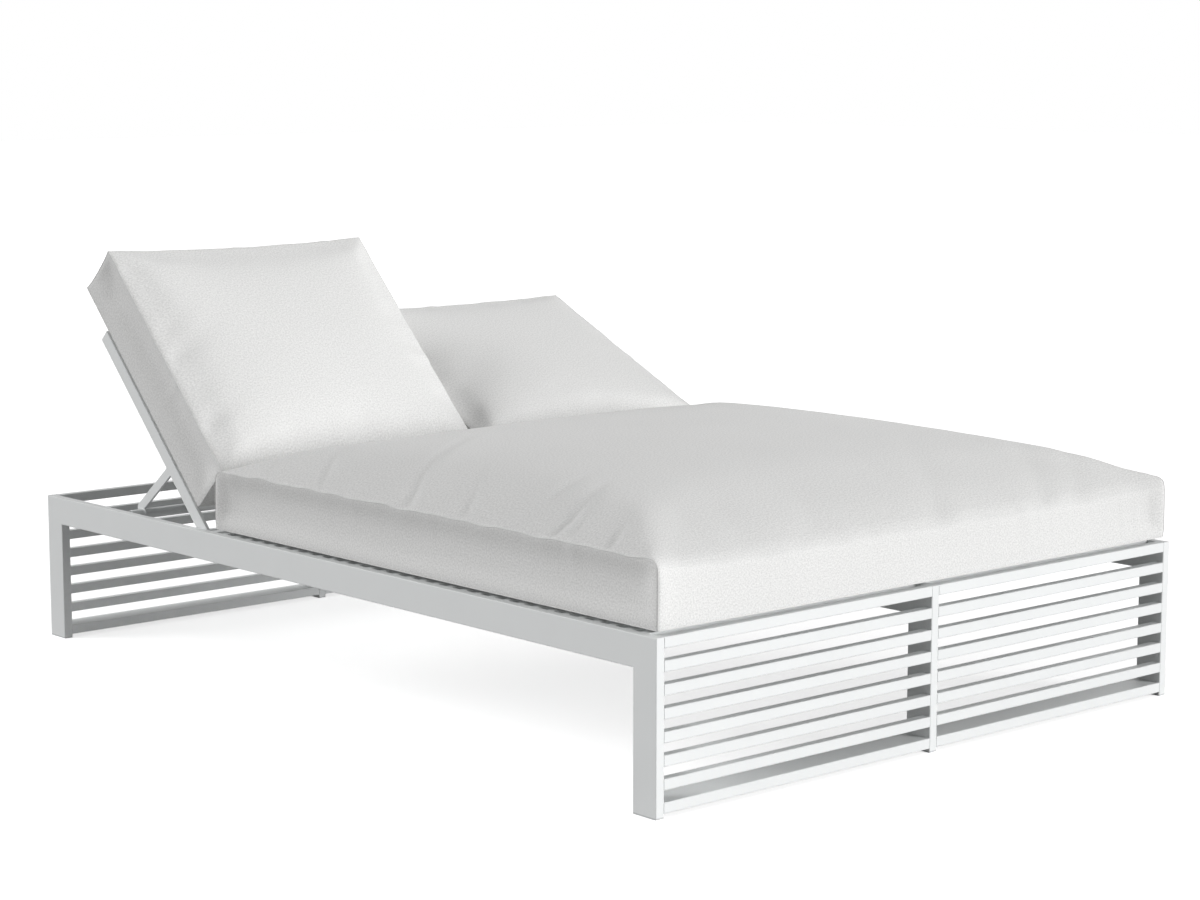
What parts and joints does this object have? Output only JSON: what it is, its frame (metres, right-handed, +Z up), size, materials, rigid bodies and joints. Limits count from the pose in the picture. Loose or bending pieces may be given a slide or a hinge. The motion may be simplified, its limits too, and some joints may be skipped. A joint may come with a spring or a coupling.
{
  "type": "double chaise lounger",
  "caption": "Wide outdoor lounger for two with a slatted tube frame, one thick seat mattress and twin backrests that recline separately on notched stays, each with a loose cushion.",
  "frame": {"origin": "centre of the frame's footprint on the floor, midway between the outer rails and between the foot and head ends", "axes": "+X across the lounger towards the right place as seen from the foot end, +Y along it towards the head end, +Z up"},
  "size_m": [1.42, 2.03, 0.8805],
  "materials": {
    "white_powder_coat": "satin",
    "outdoor_fabric": "matte",
    "glide_plastic": "matte",
    "washer_plastic": "matte",
    "stainless_steel": "satin"
  },
  "bodies": {
    "frame": {"backrest_stops": "white_powder_coat", "deck_slats_left": "white_powder_coat", "deck_slats_right": "white_powder_coat", "foot_bottom_rail_left": "white_powder_coat", "foot_bottom_rail_right": "white_powder_coat", "foot_end_slats_left": "white_powder_coat", "foot_end_slats_right": "white_powder_coat", "foot_top_rail_left": "white_powder_coat", "foot_top_rail_right": "white_powder_coat", "head_bottom_rail_left": "white_powder_coat", "head_bottom_rail_right": "white_powder_coat", "head_end_slats_left": "white_powder_coat", "head_end_slats_right": "white_powder_coat", "head_top_rail_left": "white_powder_coat", "head_top_rail_right": "white_powder_coat", "hinge_bolts": "stainless_steel", "hinge_washers": "washer_plastic", "left_foot_leg": "white_powder_coat", "left_head_leg": "white_powder_coat", "left_inner_rack": "white_powder_coat", "left_outer_rack": "white_powder_coat", "left_side_rail": "white_powder_coat", "leg_glides": "glide_plastic", "middle_foot_leg": "white_powder_coat", "middle_head_leg": "white_powder_coat", "middle_rail": "white_powder_coat", "right_foot_leg": "white_powder_coat", "right_head_leg": "white_powder_coat", "right_inner_rack": "white_powder_coat", "right_outer_rack": "white_powder_coat", "right_side_rail": "white_powder_coat", "seat_mattress": "outdoor_fabric"},
    "left_backrest": {"left_backrest_inner_bar": "white_powder_coat", "left_backrest_outer_bar": "white_powder_coat", "left_backrest_slats": "white_powder_coat", "left_stay_brackets": "white_powder_coat", "left_stay_pins": "stainless_steel"},
    "right_backrest": {"right_backrest_inner_bar": "white_powder_coat", "right_backrest_outer_bar": "white_powder_coat", "right_backrest_slats": "white_powder_coat", "right_stay_brackets": "white_powder_coat", "right_stay_pins": "stainless_steel"},
    "left_stay": {"left_stay_foot_tube": "white_powder_coat", "left_stay_inner_arm": "white_powder_coat", "left_stay_outer_arm": "white_powder_coat"},
    "right_stay": {"right_stay_foot_tube": "white_powder_coat", "right_stay_inner_arm": "white_powder_coat", "right_stay_outer_arm": "white_powder_coat"},
    "left_cushion": {"left_back_cushion": "outdoor_fabric"},
    "right_cushion": {"right_back_cushion": "outdoor_fabric"}
  },
  "joints": [
    {"name": "left_recline", "type": "hinge", "parent": "frame", "child": "left_backrest", "pos_m": [0, 0.4195, 0.31], "axis": [1, 0, 0], "range_deg": [-45.6, 0]},
    {"name": "left_stay_swing", "type": "hinge", "parent": "left_backrest", "child": "left_stay", "pos_m": [0, 0.56938, 0.43375], "axis": [1, 0, 0], "range_deg": [0, 83.96]},
    {"name": "left_cushion_slide", "type": "slide", "parent": "left_backrest", "child": "left_cushion", "axis": [0, 0.6997, 0.7145], "range_m": [-0.11896, 0]},
    {"name": "right_recline", "type": "hinge", "parent": "frame", "child": "right_backrest", "pos_m": [0, 0.4195, 0.31], "axis": [1, 0, 0], "range_deg": [-25, 20.6]},
    {"name": "right_stay_swing", "type": "hinge", "parent": "right_backrest", "child": "right_stay", "pos_m": [0, 0.60334, 0.37311], "axis": [1, 0, 0], "range_deg": [-37.93, 46.03]},
    {"name": "right_cushion_slide", "type": "slide", "parent": "right_backrest", "child": "right_cushion", "axis": [0, 0.9063, 0.4226], "range_m": [-0.06523, 0.05375]}
  ],
  "couplings": [
    {"joint": "left_stay_swing", "follows": "left_recline", "ratio": -1.8409},
    {"joint": "left_cushion_slide", "follows": "left_recline", "m_per_rad": 0.14944},
    {"joint": "right_stay_swing", "follows": "right_recline", "ratio": -1.8409},
    {"joint": "right_cushion_slide", "follows": "right_recline", "m_per_rad": 0.14944}
  ]
}
